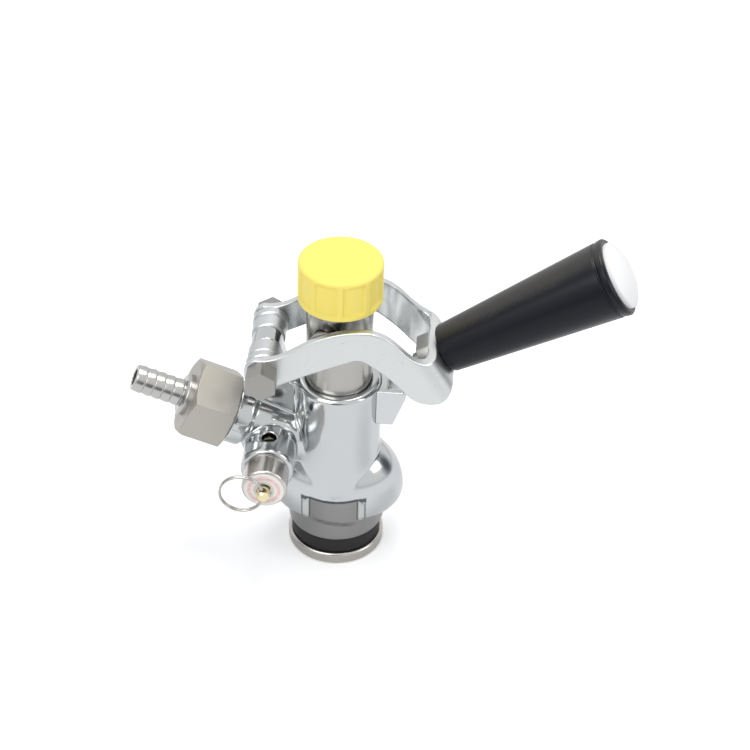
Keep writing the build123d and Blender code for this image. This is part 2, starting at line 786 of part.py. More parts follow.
def gas_duckbill():
    """Rubber check valve in the inlet, clamped by its rim."""
    rim = thread_end() + tail_washer_thick
    sleeve = turned([
        (duckbill_tip_r - duckbill_wall, rim - duckbill_long),
        (duckbill_tip_r, rim - duckbill_long),
        (duckbill_r, rim - duckbill_long / 2),
        (duckbill_r, rim - tail_washer_thick),
        (inlet_bore_r, rim - tail_washer_thick),
        (inlet_bore_r, rim),
        (duckbill_r - duckbill_wall, rim),
        (duckbill_r - duckbill_wall, rim - duckbill_long / 2),
    ])
    return inlet_frame * sleeve


# ---------------------------------------------------------------- relief valve pieces
def relief_insert():
    """Stainless cup that screws into the boss and carries the stem."""
    face = -relief_face_y
    rim = -relief_boss_y
    inner = relief_insert_r - relief_wall
    return relief_frame * turned([
        (stem_r + slide_gap, face - 3),
        (inner - 1.8, face - 3),
        (inner - 1.8, vent_seat() + 0.2),
        (inner, vent_seat() + 0.2),
        (inner, rim + 0.05),
        (relief_insert_r, rim + 0.05),
        (relief_insert_r, face - 0.6),
        (relief_insert_r - 0.6, face),
        (stem_r + slide_gap, face),
    ])


def relief_label():
    """Pale ring on the insert's face, left bare."""
    return relief_frame * ring(label_r, stem_head_r + 0.6, -relief_face_y, -relief_face_y + label_thick)


def stem_seat():
    """Front of the stem's disc, along the relief axis."""
    return -relief_seat_y + relief_seal_thick + stem_disc_thick


def relief_stem():
    """Brass stem with a cross hole for the pull ring."""
    face = -relief_face_y + label_thick + seat_gap
    stem = turned([
        (0, -relief_seat_y + relief_seal_thick),
        (stem_disc_r, -relief_seat_y + relief_seal_thick),
        (stem_disc_r, stem_seat()),
        (stem_r, stem_seat()),
        (stem_r, face),
        (stem_head_r, face),
        (stem_head_r, face + stem_head_long - 0.8),
        (stem_head_r - 0.8, face + stem_head_long),
        (0, face + stem_head_long),
    ])
    hole = Pos(0, 0, ring_hole_at()) * Rot(0, 90, 0) * Cylinder(ring_hole_r, 4 * stem_head_r)
    return relief_frame * (stem - hole)


def ring_hole_at():
    """Where the ring's hole crosses the stem, along the relief axis."""
    return -relief_face_y + label_thick + seat_gap + 0.55 * stem_head_long


def relief_seal():
    """Rubber disc that the stem presses on the seat."""
    return relief_frame * disc(stem_disc_r, -relief_seat_y + 0.02, -relief_seat_y + relief_seal_thick)


def relief_spring():
    """Spring that holds the relief valve shut."""
    middle = (stem_r + relief_insert_r - relief_wall - 1.8) / 2
    return relief_frame * coil(middle, relief_spring_wire, stem_seat(), -relief_face_y - 3, relief_spring_turns)


def pull_ring():
    """Wire ring through the stem's cross hole, standing to the -X side."""
    centre = Pos(relief_x - pull_ring_r, -ring_hole_at(), relief_z)
    return centre * Rot(90, 0, 0) * Torus(pull_ring_r, pull_wire_r)


# ---------------------------------------------------------------- one file for each piece
pieces = {
    "main_casting": main_casting,
    "retaining_ring": retaining_ring,
    "base_seal": base_seal,
    "barrel_orings": barrel_orings,
    "beer_tube": beer_tube,
    "foot_seal": foot_seal,
    "check_ball": check_ball,
    "ball_cage": ball_cage,
    "dust_cap": dust_cap,
    "cap_liner": cap_liner,
    "lever_yoke": lever_yoke,
    "drive_pins": drive_pins,
    "pivot_bolt": pivot_bolt,
    "pivot_nut": pivot_nut,
    "pivot_spacers": pivot_spacers,
    "pivot_washers": pivot_washers,
    "handle_guide": handle_guide,
    "guide_nut": guide_nut,
    "handle_stud": handle_stud,
    "handle_spring": handle_spring,
    "handle_grip": handle_grip,
    "grip_end_plug": grip_end_plug,
    "catch_bracket": catch_bracket,
    "catch_screw": catch_screw,
    "union_nut": union_nut,
    "hose_tail": hose_tail,
    "tail_washer": tail_washer,
    "gas_duckbill": gas_duckbill,
    "relief_insert": relief_insert,
    "relief_label": relief_label,
    "relief_stem": relief_stem,
    "relief_seal": relief_seal,
    "relief_spring": relief_spring,
    "pull_ring": pull_ring,
}

for name, make in pieces.items():
    solid = make()
    export_step(solid, f"parts/{name}.step")
    print(name, len(solid.solids()), round(solid.volume, 1))
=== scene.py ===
"""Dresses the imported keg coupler: plated casting, zinc yoke, steel fittings and moulded plastics.

Lengths are in metres, in the frame of the CAD model: the origin is on the beer tube's axis at the
bottom of the retaining ring, +Z runs up the tube and +X points to the handle.
"""

from __future__ import annotations

import json
import logging
import math
from dataclasses import dataclass
from enum import Enum
from functools import cached_property
from typing import Any

import bmesh
import bpy
import numpy as np
from mathutils import Matrix, Vector


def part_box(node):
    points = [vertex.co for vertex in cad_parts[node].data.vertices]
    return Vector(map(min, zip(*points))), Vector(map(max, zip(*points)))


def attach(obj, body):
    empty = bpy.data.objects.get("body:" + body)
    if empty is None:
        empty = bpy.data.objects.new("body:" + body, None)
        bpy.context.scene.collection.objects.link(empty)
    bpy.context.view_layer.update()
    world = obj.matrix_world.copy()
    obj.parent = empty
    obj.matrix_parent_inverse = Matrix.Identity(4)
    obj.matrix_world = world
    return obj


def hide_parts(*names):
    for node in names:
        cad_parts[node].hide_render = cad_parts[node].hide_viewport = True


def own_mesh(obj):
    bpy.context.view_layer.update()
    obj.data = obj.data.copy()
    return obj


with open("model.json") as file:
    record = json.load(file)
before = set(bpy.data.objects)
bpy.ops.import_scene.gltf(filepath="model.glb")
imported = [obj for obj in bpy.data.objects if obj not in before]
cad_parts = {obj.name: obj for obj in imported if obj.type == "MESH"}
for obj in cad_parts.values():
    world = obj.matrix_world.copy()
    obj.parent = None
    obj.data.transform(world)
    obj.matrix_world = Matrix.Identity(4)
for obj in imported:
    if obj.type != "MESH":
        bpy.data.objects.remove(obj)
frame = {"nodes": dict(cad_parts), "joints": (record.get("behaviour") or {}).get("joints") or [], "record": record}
log = logging.getLogger("keg_coupler")
MM = 0.001
SHARP = math.radians(27.0)  # edges sharper than this are eased


@dataclass(frozen=True)
class Line:
    """A line in space that a turned piece stands on.

    Attributes:
        origin: A point on it, from which lengths along it are counted.
        direction: Its direction, one metre long.
    """

    origin: Vector
    direction: Vector

    def place(self) -> Matrix:
        """Returns the transform that carries local +Z onto the line."""
        turn = self.direction.to_track_quat("Z", "X").to_matrix().to_4x4()
        return Matrix.Translation(self.origin) @ turn


def joint(name: str) -> dict[str, Any]:
    """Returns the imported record's joint of that name."""
    return next(row for row in frame["joints"] if row["name"] == name)


def joint_line(name: str) -> Line:
    """Returns the line that a hinge turns about."""
    row = joint(name)
    return Line(Vector(row["pos_m"]), Vector(row["axis"]).normalized())


def turned_line(node: str, direction: Vector) -> tuple[Line, float, float]:
    """Finds where a turned node stands, from how far its mesh reaches across and along a direction.

    Args:
        node: The CAD node.
        direction: The direction of its axis.

    Returns:
        Its axis from its near end, its length and its radius.
    """
    mesh = frame["nodes"][node].data
    points = np.empty(3 * len(mesh.vertices))
    mesh.vertices.foreach_get("co", points)
    way = np.array(direction.normalized())
    first = np.array(direction.orthogonal().normalized())
    basis = np.stack([first, np.cross(way, first), way])
    reach = points.reshape(-1, 3) @ basis.T
    low, high = reach.min(axis=0), reach.max(axis=0)
    middle = (low + high) / 2
    origin = Vector(np.array([middle[0], middle[1], low[2]]) @ basis)
    return Line(origin, direction.normalized()), high[2] - low[2], (high[0] - low[0]) / 2


class Axis(Enum):
    """The lines that pieces are turned about or ride along, read from the joints and the boxes."""

    TUBE = turned_line("retaining_ring", Vector((0.0, 0.0, 1.0)))[0]
    INLET = joint_line("nut_turn")
    HANDLE = turned_line("handle_grip", Vector(joint("handle_pull")["axis"]))[0]
    RELIEF = turned_line("relief_seal", Vector(joint("relief_pull")["axis"]))[0]
    PIVOT = joint_line("lever_turn")


# ------------------------------------------------------------------ shader expressions
class Socket:
    """A node's output. Arithmetic on it adds Math nodes to its graph."""

    def __init__(self, graph: Graph, output: bpy.types.NodeSocket) -> None:
        """Wraps one output of a node in graph."""
        self.graph = graph
        self.output = output

    def _math(self, operation: str, first: Number, second: Number) -> Socket:
        """Returns the result of one Math node."""
        return self.graph.node("ShaderNodeMath", {"operation": operation}, {0: first, 1: second})

    def __add__(self, other: Number) -> Socket:
        """Returns the sum."""
        return self._math("ADD", self, other)

    def __sub__(self, other: Number) -> Socket:
        """Returns the difference."""
        return self._math("SUBTRACT", self, other)

    def __rsub__(self, other: Number) -> Socket:
        """Returns a number less this."""
        return self._math("SUBTRACT", other, self)

    def __mul__(self, other: Number) -> Socket:
        """Returns the product."""
        return self._math("MULTIPLY", self, other)

    def __truediv__(self, other: Number) -> Socket:
        """Returns the quotient."""
        return self._math("DIVIDE", self, other)

    def either(self, other: Number) -> Socket:
        """Returns the larger of the two."""
        return self._math("MAXIMUM", self, other)

    def size(self) -> Socket:
        """Returns this without its sign."""
        return self.graph.node("ShaderNodeMath", {"operation": "ABSOLUTE"}, {0: self})

    __radd__ = __add__
    __rmul__ = __mul__


Number = Socket | float
Colour = tuple[float, float, float]
Triple = tuple[float, float, float]


class Graph:
    """The node tree of a material or a world, filled by expressions."""

    def __init__(self, owner: bpy.types.Material | bpy.types.World) -> None:
        """Empties the owner's tree.

        Args:
            owner: The material or the world.
        """
        self.owner = owner
        owner.use_nodes = True
        self.tree = owner.node_tree
        self.tree.nodes.clear()

    @classmethod
    def of_material(cls, name: str) -> Graph:
        """Returns the graph of a new material."""
        return cls(bpy.data.materials.new(name))

    @cached_property
    def place(self) -> Socket:
        """The place on the piece, in object coordinates."""
        return self.node("ShaderNodeTexCoord", out="Object")

    def node(
        self,
        kind: str,
        settings: dict[str, Any] | None = None,
        inputs: dict[int | str, Any] | None = None,
        out: int | str = 0,
    ) -> Socket:
        """Adds one node.

        Args:
            kind: The node's type.
            settings: Properties of the node, set before its sockets.
            inputs: Values or links of its sockets, by name or number.
            out: The output to return.

        Returns:
            The chosen output.
        """
        made = self.tree.nodes.new(kind)
        for name, value in (settings or {}).items():
            setattr(made, name, value)
        for name, value in (inputs or {}).items():
            if isinstance(value, Socket):
                self.tree.links.new(value.output, made.inputs[name])
            else:
                made.inputs[name].default_value = value
        return Socket(self, made.outputs[out])

    def blend(self, share: Number, low: Any, high: Any) -> Socket:
        """Returns a colour between two by a share from 0 to 1."""
        ends = {"Factor": share, 6: rgba(low), 7: rgba(high)}
        return self.node("ShaderNodeMix", {"data_type": "RGBA"}, ends, out=2)

    def step(self, value: Number, start: float, end: float) -> Socket:
        """Returns 0 before start and 1 after end, with a smooth rise between."""
        span = {"Value": value, "From Min": start, "From Max": end}
        return self.node("ShaderNodeMapRange", {"interpolation_type": "SMOOTHSTEP"}, span)

    def band(self, value: Number, start: float, end: float, soft: float) -> Socket:
        """Returns 1 between start and end and 0 outside, with edges that are soft either side."""
        rise = self.step(value, start - soft, start + soft)
        return rise * (1.0 - self.step(value, end - soft, end + soft))

    def noise(self, scale: float, detail: float = 3.0, place: Socket | None = None) -> Socket:
        """Returns fractal noise about 0.5, with scale in features per metre."""
        inputs = {"Vector": place or self.place, "Scale": scale, "Detail": detail}
        return self.node("ShaderNodeTexNoise", {}, inputs)

    def rings(self, run: Socket, scale: float) -> Socket:
        """Returns the rings that turning leaves along a run, with scale in rings per metre."""
        inputs = {"W": run, "Scale": scale, "Detail": 3.0}
        return self.node("ShaderNodeTexNoise", {"noise_dimensions": "1D"}, inputs)

    def handled(self, spots: tuple[float, float], patches: tuple[float, float]) -> Socket:
        """Returns the mask of small handling marks that gather in patches.

        Args:
            spots: Noise levels between which a spot fades in.
            patches: Noise levels between which a patch of them fades in.

        Returns:
            The mask, from 0 to 1.
        """
        fine = self.noise(SPOTS, 4.0, self.stretched((1.0, 1.0, 2.2)))
        return self.step(fine, *spots) * self.step(self.noise(PATCHES, 1.0), *patches)

    def vector(self, operation: str, first: Any, second: Any, out: str = "Vector") -> Socket:
        """Returns the result of one Vector Math node."""
        ends = {0: first, 1: second}
        return self.node("ShaderNodeVectorMath", {"operation": operation}, ends, out)

    def length(self, value: Socket) -> Socket:
        """Returns the length of a vector."""
        return self.node("ShaderNodeVectorMath", {"operation": "LENGTH"}, {0: value}, "Value")

    def part(self, letter: str) -> Socket:
        """Returns the X, Y or Z of the place on the piece."""
        return self.node("ShaderNodeSeparateXYZ", {}, {0: self.place}, out=letter)

    def along(self, line: Line) -> Socket:
        """Returns the distance along a line from its origin."""
        offset = self.vector("SUBTRACT", self.place, tuple(line.origin))
        return self.vector("DOT_PRODUCT", offset, tuple(line.direction), out="Value")

    def off(self, line: Line) -> Socket:
        """Returns the distance from a line."""
        offset = self.vector("SUBTRACT", self.place, tuple(line.origin))
        return self.length(self.vector("CROSS_PRODUCT", offset, tuple(line.direction)))

    def stretched(self, scale: Triple, turn: Triple = (0.0, 0.0, 0.0)) -> Socket:
        """Returns the place on the piece scaled by axis, after a turn in radians."""
        inputs = {"Vector": self.place, "Rotation": turn, "Scale": scale}
        return self.node("ShaderNodeMapping", {"vector_type": "POINT"}, inputs)

    def bump(self, height: Socket) -> Socket:
        """Returns a normal raised by a height in metres."""
        inputs = {"Height": height, "Distance": 1.0, "Strength": 1.0}
        return self.node("ShaderNodeBump", {}, inputs, out="Normal")

    def surface(self, **inputs: Any) -> bpy.types.Material:
        """Adds the shader and the output.

        Args:
            inputs: Sockets of the Principled BSDF, with spaces written as underscores.

        Returns:
            The finished material.
        """
        named = {name.replace("_", " "): value for name, value in inputs.items()}
        named["Base Color"] = rgba(named["Base Color"])
        self.finish(self.node("ShaderNodeBsdfPrincipled", {}, named))
        return self.owner

    def finish(self, shader: Socket) -> None:
        """Joins a shader to the output of the material or the world.

        Args:
            shader: The shader.
        """
        kind = "World" if isinstance(self.owner, bpy.types.World) else "Material"
        end = self.tree.nodes.new(f"ShaderNodeOutput{kind}")
        self.tree.links.new(shader.output, end.inputs["Surface"])


def rgba(value: Any) -> Any:
    """Returns a colour with its alpha, and leaves a socket as it is."""
    return value if isinstance(value, Socket) else (*value[:3], 1.0)


def darker(tone: Colour, share: float) -> Colour:
    """Returns a share of a colour."""
    return tuple(channel * share for channel in tone)


# ------------------------------------------------------------------ finishes
# Sizes of the patterns that several finishes share, in features per metre.
DRIFT = 90.0
PATCHES = 160.0
RIPPLES = 220.0
SPOTS = 900.0
MOULD_GRAIN = 2600.0
TURNING = 3800.0
PITS = 5200.0

# Depths in metres of the waves and the pits of zinc plate.
ZINC_RIPPLE = 4.0e-5
ZINC_PITS = 2.2e-6


@dataclass(frozen=True)
class Look:
    """What every finish has.

    Attributes:
        name: The material's name.
        slot: The record's material slot; not used.
    """

    name: str
    slot: str


@dataclass(frozen=True)
class Metal(Look):
    """A metal surface: its tone, its gloss, and the marks that its making left.

    Attributes:
        tone: Reflected colour.
        rough: Roughness between marks.
        mottle: Share by which the tone drifts over a few millimetres.
        ripple: Depth in metres of the slow waves left by casting and polishing.
        lines: Axis of the turning lines, if it was turned.
        line_depth: Depth in metres of those lines.
        grain: Depth in metres of fine pits.
        scuffs: Share of the surface with dark handling marks.
    """

    tone: Colour
    rough: float
    mottle: float = 0.06
    ripple: float = 0.0
    lines: Axis | None = None
    line_depth: float = 1.2e-6
    grain: float = 0.0
    scuffs: float = 0.0

    def relief(self, graph: Graph) -> Socket:
        """Adds up the slow waves, the pits and the turning lines.

        Args:
            graph: The material's graph.

        Returns:
            The surface's height in metres.
        """
        height = (graph.noise(RIPPLES, 2.0) - 0.5) * self.ripple
        if self.grain:
            height = height + graph.noise(PITS, 2.0) * self.grain
        if self.lines is not None:
            run = graph.along(self.lines.value)
            height = height + graph.rings(run, TURNING) * self.line_depth
        return height

    def make(self) -> bpy.types.Material:
        """Makes the material.

        Returns:
            The finished material.
        """
        graph = Graph.of_material(self.name)
        drift = graph.noise(DRIFT, 2.0)
        marks = graph.handled((0.66, 0.72), (0.5, 0.62)) * self.scuffs
        tone = graph.blend(drift, darker(self.tone, 1.0 - 2.0 * self.mottle), self.tone)
        tone = graph.blend(marks, tone, darker(self.tone, 0.35))
        rough = self.rough + (drift - 0.5) * (0.5 * self.rough) + marks * 0.2
        normal = graph.bump(self.relief(graph))
        return graph.surface(Base_Color=tone, Metallic=1.0, Roughness=rough, Normal=normal)


def moulded_skin(graph: Graph, grain: float) -> Socket:
    """Returns the height of a moulding's skin: the mould's grain over shallow sinks."""
    return graph.noise(MOULD_GRAIN, 3.0) * grain + graph.noise(140.0, 1.0) * 1.5e-5


@dataclass(frozen=True)
class Moulded(Look):
    """A moulded plastic or rubber surface.

    Attributes:
        tone: Its colour.
        rough: Its roughness.
        grain: Depth in metres of the mould's texture.
        fade: Share by which the colour drifts.
        dust: Share of pale dust.
        dust_tone: Colour of that dust.
        shine: Strength of its plain reflection.
    """

    tone: Colour
    rough: float
    grain: float = 2.0e-6
    fade: float = 0.04
    dust: float = 0.0
    dust_tone: Colour = (0.5, 0.5, 0.5)
    shine: float = 0.35

    def make(self) -> bpy.types.Material:
        """Makes the material.

        Returns:
            The finished material.
        """
        graph = Graph.of_material(self.name)
        drift = graph.noise(70.0, 2.0)
        tone = graph.blend(drift, darker(self.tone, 1.0 - 2.0 * self.fade), self.tone)
        specks = graph.step(graph.noise(1500.0, 5.0), 0.62, 0.75) * self.dust
        tone = graph.blend(specks, tone, self.dust_tone)
        rough = self.rough + (drift - 0.5) * 0.12 + specks * 0.2
        normal = graph.bump(moulded_skin(graph, self.grain))
        return graph.surface(
            Base_Color=tone, Roughness=rough, Normal=normal, Specular_IOR_Level=self.shine
        )


@dataclass(frozen=True)
class PlatedCasting(Look):
    """Chrome plate on the casting, with machined steel-grey faces on its plain spigot.

    Lengths are in millimetres unless an attribute says otherwise.

    Attributes:
        tone: Reflected colour of the plate.
        machined: Reflected colour of the machined spigot.
        painted_shade: Colour of the shade painted under the lip and along the windows' pads.
        spigot: Radius of the spigot.
        lip: Height of the lip's underside.
        window: Half width of the windows.
        window_low: Height of their lower end.
        pad: Where the windows' flat pads rise from the spigot, from the middle.
        ends: How far to the front and back the windows begin.
        scrape_low: Lower edge of the scrape that the keg's flange left.
        scrape_high: Its upper edge.
        scrape_half: Half its width.
        rough: Roughness of the plate.
        waves: Depth in metres of the slow waves left by polishing.
        turning: Turning rings on the spigot, per metre.
        turning_depth: Depth in metres of those rings.
    """

    name: str = "chrome_plate"
    slot: str = "chrome"
    tone: Colour = (0.545, 0.56, 0.565)
    machined: Colour = (0.27, 0.27, 0.265)
    painted_shade: Colour = (0.06, 0.065, 0.07)
    spigot: float = 18.6
    lip: float = 32.6
    window: float = 12.4
    window_low: float = 22.0
    pad: float = 9.3
    ends: float = 12.0
    scrape_low: float = 20.0
    scrape_high: float = 21.9
    scrape_half: float = 7.75
    rough: float = 0.11
    waves: float = 1.2e-4
    turning: float = 3400.0
    turning_depth: float = 1.6e-6

    def make(self) -> bpy.types.Material:
        """Makes the material.

        Returns:
            The finished material.
        """
        graph = Graph.of_material(self.name)
        height = graph.along(Axis.TUBE.value)
        off = graph.off(Axis.TUBE.value)
        inner = 1.0 - graph.step(off, (self.spigot + 0.1) * MM, (self.spigot + 0.3) * MM)
        below = 1.0 - graph.step(height, (self.lip - 0.6) * MM, (self.lip - 0.1) * MM)
        turned = inner * below
        drift = graph.noise(60.0, 2.0)
        plate = graph.blend(drift, darker(self.tone, 0.93), self.tone)
        tone = graph.blend(turned, plate, self.machined)
        scrape = self.scrape(graph, height) * turned
        tone = graph.blend(scrape, tone, darker(self.machined, 0.45))
        # painted shade: a dark line under the lip's overhang and along the edges of the windows' pads
        tone = graph.blend(self.corners(graph, height, off), tone, self.painted_shade)
        rough = self.rough + drift * 0.05 + turned * 0.16
        waves = (graph.noise(70.0, 1.0) - 0.5) * self.waves
        rings = graph.rings(height, self.turning) * turned * self.turning_depth
        normal = graph.bump(waves * (1.0 - turned) + rings)
        return graph.surface(Base_Color=tone, Metallic=1.0, Roughness=rough, Normal=normal)

    def corners(self, graph: Graph, height: Socket, off: Socket) -> Socket:
        """Finds where shade is painted: a dark line under the lip's overhang and along the sides of the windows'
        pads.

        Args:
            graph: The material's graph.
            height: Height above the ring's bottom.
            off: Distance from the tube's axis.

        Returns:
            The mask of the painted shade.
        """
        side = graph.part("X").size()
        ends = graph.step(graph.part("Y").size(), self.ends * MM, (self.ends + 1.0) * MM)
        near = 1.0 - graph.step(off, (self.spigot + 2.0) * MM, (self.spigot + 2.4) * MM)
        wander = graph.noise(500.0, 3.0) * (0.6 * MM)
        under = graph.band(height + wander, (self.lip - 0.9) * MM, (self.lip + 0.9) * MM, 0.25 * MM)
        under = under * (1.0 - graph.step(side, self.window * MM, (self.window + 0.4) * MM))
        up = graph.band(height, self.window_low * MM, (self.lip + 0.3) * MM, 0.6 * MM)
        inside = graph.band(side, (self.pad - 0.35) * MM, (self.pad + 0.15) * MM, 0.15 * MM)
        outside = graph.band(side, (self.window - 0.45) * MM, (self.window + 0.05) * MM, 0.15 * MM)
        upright = up * (inside + outside) * 0.8
        return (under + upright * (1.0 - under)) * ends * near * 0.9

    def scrape(self, graph: Graph, height: Socket) -> Socket:
        """Finds the level scrape that the keg's flange left on the front of the spigot.

        Args:
            graph: The material's graph.
            height: Height above the ring's bottom.

        Returns:
            The mask of the scrape.
        """
        side = graph.part("X")
        wander = graph.noise(700.0, 4.0, graph.stretched((0.5, 0.5, 6.0)))
        level = height + side * 0.1
        level = graph.band(level, self.scrape_low * MM, self.scrape_high * MM, 0.5 * MM)
        middle = 0.25 * MM
        half = self.scrape_half * MM
        reach = graph.band(side, middle - half, middle + half, 2.0 * MM)
        facing = 1.0 - graph.step(graph.part("Y"), -16.0 * MM, -15.0 * MM)
        return level * reach * facing * graph.step(wander, 0.3, 0.55) * 0.8


@dataclass(frozen=True)
class YokePlate(Look):
    """Zinc plate on the yoke: even outside, and darkened between the arms by painted shade and reflection that
    follow brushed streaks.

    Attributes:
        tone: Reflected colour outside.
        inner: Reflected colour between the arms, darkened as painted shade and reflection.
        sheet: Thickness of the sheet in millimetres.
        rough: Roughness outside.
    """

    name: str = "yoke_zinc_plate"
    slot: str = "zinc"
    tone: Colour = (0.64, 0.66, 0.655)
    inner: Colour = (0.38, 0.395, 0.40)
    sheet: float = 3.0
    rough: float = 0.34

    def between(self, graph: Graph) -> Socket:
        """Finds the faces between the arms, short of the cross wall's outer face.

        Args:
            graph: The material's graph.

        Returns:
            The mask of those faces.
        """
        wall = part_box("lever_yoke")[1].y - self.sheet * MM
        across = graph.step(graph.part("Y").size(), wall + 0.1 * MM, wall + 0.6 * MM)
        run = graph.along(Axis.HANDLE.value)
        return (1.0 - across) * (1.0 - graph.step(run, -self.sheet * MM, (0.6 - self.sheet) * MM))

    def make(self) -> bpy.types.Material:
        """Makes the material.

        Returns:
            The finished material.
        """
        graph = Graph.of_material(self.name)
        between = self.between(graph)
        streaks = graph.noise(260.0, 4.0, graph.stretched((1.0, 1.0, 0.25), (0.0, 0.5, 0.0)))
        drift = graph.noise(DRIFT, 2.0)
        marks = graph.handled((0.645, 0.70), (0.46, 0.58)) * 0.55
        outer = graph.blend(drift, darker(self.tone, 0.93), self.tone)
        # painted shade and reflection: between the arms the plate darkens to the inner colour, in brushed streaks
        shaded_streaks = graph.blend(graph.step(streaks, 0.36, 0.62), self.inner, self.tone)
        tone = graph.blend(marks, graph.blend(between * 0.9, outer, shaded_streaks), darker(self.tone, 0.4))
        rough = self.rough + (drift - 0.5) * 0.12 + marks * 0.2 - between * 0.08
        waves = (graph.noise(RIPPLES, 2.0) - 0.5) * ZINC_RIPPLE
        height = waves + graph.noise(PITS, 2.0) * ZINC_PITS
        normal = graph.bump(height + streaks * between * 1.5e-5)
        return graph.surface(Base_Color=tone, Metallic=1.0, Roughness=rough, Normal=normal)


@dataclass(frozen=True)
class PaintedSheenGrip(Look):
    """Black moulded plastic, with a painted warm grey sheen along the grip's upper side.

    Attributes:
        tone: Its colour away from the painted sheen.
        painted_sheen: Colour of the painted sheen along the upper side.
        rough: Roughness away from the painted sheen.
        shine: Strength of its plain reflection.
    """

    name: str = "black_grip"
    slot: str = "black_plastic"
    tone: Colour = (0.004, 0.005, 0.009)
    painted_sheen: Colour = (0.050, 0.048, 0.044)
    rough: float = 0.3
    shine: float = 0.22

    def make(self) -> bpy.types.Material:
        """Makes the material. A share of 1 is the top of the grip, and 0 is level with its axis.

        Returns:
            The finished material.
        """
        graph = Graph.of_material(self.name)
        line = Axis.HANDLE.value
        upward = Line(line.origin, line.direction.cross(Vector((0.0, 1.0, 0.0))))
        share = graph.along(upward) / graph.off(line)
        wander = (graph.noise(120.0, 2.0) - 0.5) * 0.12
        # painted sheen: a lighter warm grey band along the upper side stands in for a lamp's reflection
        painted_sheen_mask = graph.step(share + wander, 0.78, 0.98)
        fine = graph.noise(1200.0, 4.0, graph.stretched((1.0, 1.0, 0.3)))
        tone = graph.blend(painted_sheen_mask * (0.55 + fine * 0.45), self.tone, self.painted_sheen)
        rough = self.rough - painted_sheen_mask * 0.06 + (fine - 0.5) * 0.08
        normal = graph.bump(moulded_skin(graph, 1.2e-6))
        return graph.surface(
            Base_Color=tone, Roughness=rough, Normal=normal, Specular_IOR_Level=self.shine
        )


@dataclass(frozen=True)
class BandedLabel(Look):
    """The relief valve's pale plastic ring with a plain pink band.

    Attributes:
        paper: Its colour.
        pink: Colour of the band.
        shade: Colour of the painted shade on the inner edge round the stem.
        band_low: Inner radius of the band in millimetres.
        band_high: Its outer radius in millimetres.
        rough: Roughness where it isn't worn.
    """

    name: str = "label_ring"
    slot: str = "pale_plastic"
    paper: Colour = (0.80, 0.77, 0.73)
    pink: Colour = (0.78, 0.42, 0.42)
    shade: Colour = (0.45, 0.44, 0.43)
    band_low: float = 4.9
    band_high: float = 6.2
    rough: float = 0.38

    def make(self) -> bpy.types.Material:
        """Makes the material.

        Returns:
            The finished material.
        """
        graph = Graph.of_material(self.name)
        off = graph.off(Axis.RELIEF.value)
        worn = graph.step(graph.noise(1400.0, 3.0), 0.35, 0.62)
        band = graph.band(off, self.band_low * MM, self.band_high * MM, 0.15 * MM)
        tone = graph.blend(band * (0.35 + worn * 0.5), self.paper, self.pink)
        # painted shade: the inner edge round the stem is darkened
        inner = 1.0 - graph.step(off, 3.7 * MM, 4.1 * MM)
        tone = graph.blend(inner * 0.6, tone, self.shade)
        normal = graph.bump(graph.noise(2500.0, 2.0) * 2.0e-6)
        return graph.surface(Base_Color=tone, Roughness=self.rough + worn * 0.1, Normal=normal)


class Finish(Enum):
    """Every finish on the coupler."""

    CHROME = PlatedCasting()
    YOKE = YokePlate()
    TUBE = Metal("turned_tube_steel", "steel", (0.44, 0.43, 0.41), 0.25, lines=Axis.TUBE)
    RING = Metal("turned_ring_steel", "steel", (0.53, 0.51, 0.48), 0.24, lines=Axis.TUBE)
    UNION = Metal("nickel_union", "steel", (0.46, 0.44, 0.40), 0.42, grain=1.2e-6, scuffs=0.15)
    TAIL = Metal("turned_tail_steel", "steel", (0.50, 0.495, 0.48), 0.24, lines=Axis.INLET)
    VALVE = Metal("turned_valve_steel", "steel", (0.58, 0.555, 0.53), 0.22, lines=Axis.RELIEF)
    STUD = Metal("drawn_stud_steel", "steel", (0.60, 0.59, 0.57), 0.22, lines=Axis.HANDLE)
    ZINC = Metal(
        "zinc_plate",
        "zinc",
        (0.62, 0.635, 0.64),
        0.36,
        0.04,
        ripple=ZINC_RIPPLE,
        grain=ZINC_PITS,
        scuffs=0.5,
    )
    BUSH = Metal("zinc_bush", "zinc", (0.60, 0.615, 0.625), 0.4, lines=Axis.PIVOT)
    BOLT = Metal(
        "hexagon_steel", "bolt_steel", (0.36, 0.35, 0.335), 0.34, 0.08, ripple=2.0e-5, grain=2.0e-6
    )
    SPRING = Metal("spring_wire", "spring_steel", (0.50, 0.485, 0.455), 0.24, grain=0.8e-6)
    BRASS = Metal("turned_brass", "brass", (0.80, 0.71, 0.45), 0.36, lines=Axis.RELIEF)
    RUBBER = Moulded("black_rubber", "rubber", (0.012, 0.012, 0.013), 0.6, 5.0e-6, 0.1, 0.04)
    GRIP = PaintedSheenGrip()
    PLUG = Moulded("white_plug", "white_plastic", (0.80, 0.80, 0.80), 0.55, 1.5e-6, 0.01)
    CAP = Moulded("yellow_cap", "yellow_plastic", (0.90, 0.745, 0.16), 0.45, 2.5e-6, 0.03)
    LABEL = BandedLabel()

    @cached_property
    def material(self) -> bpy.types.Material:
        """The finish's material, which is made once."""
        return self.value.make()


def dress(piece: bpy.types.Object, finish: Finish) -> None:
    """Puts a finish on a piece in place of what it has."""
    piece.data.materials.clear()
    piece.data.materials.append(finish.material)


# ------------------------------------------------------------------ surfaces
WIRE_SIDES = 12
TURN_STEPS = 48  # points along one turn of a spring


def ease(value: np.ndarray, start: float, end: float) -> np.ndarray:
    """Returns 0 before start, 1 after end, and the smooth cubic 3t^2 - 2t^3 between."""
    share = np.clip((value - start) / (end - start), 0.0, 1.0)
    return share * share * (3.0 - 2.0 * share)


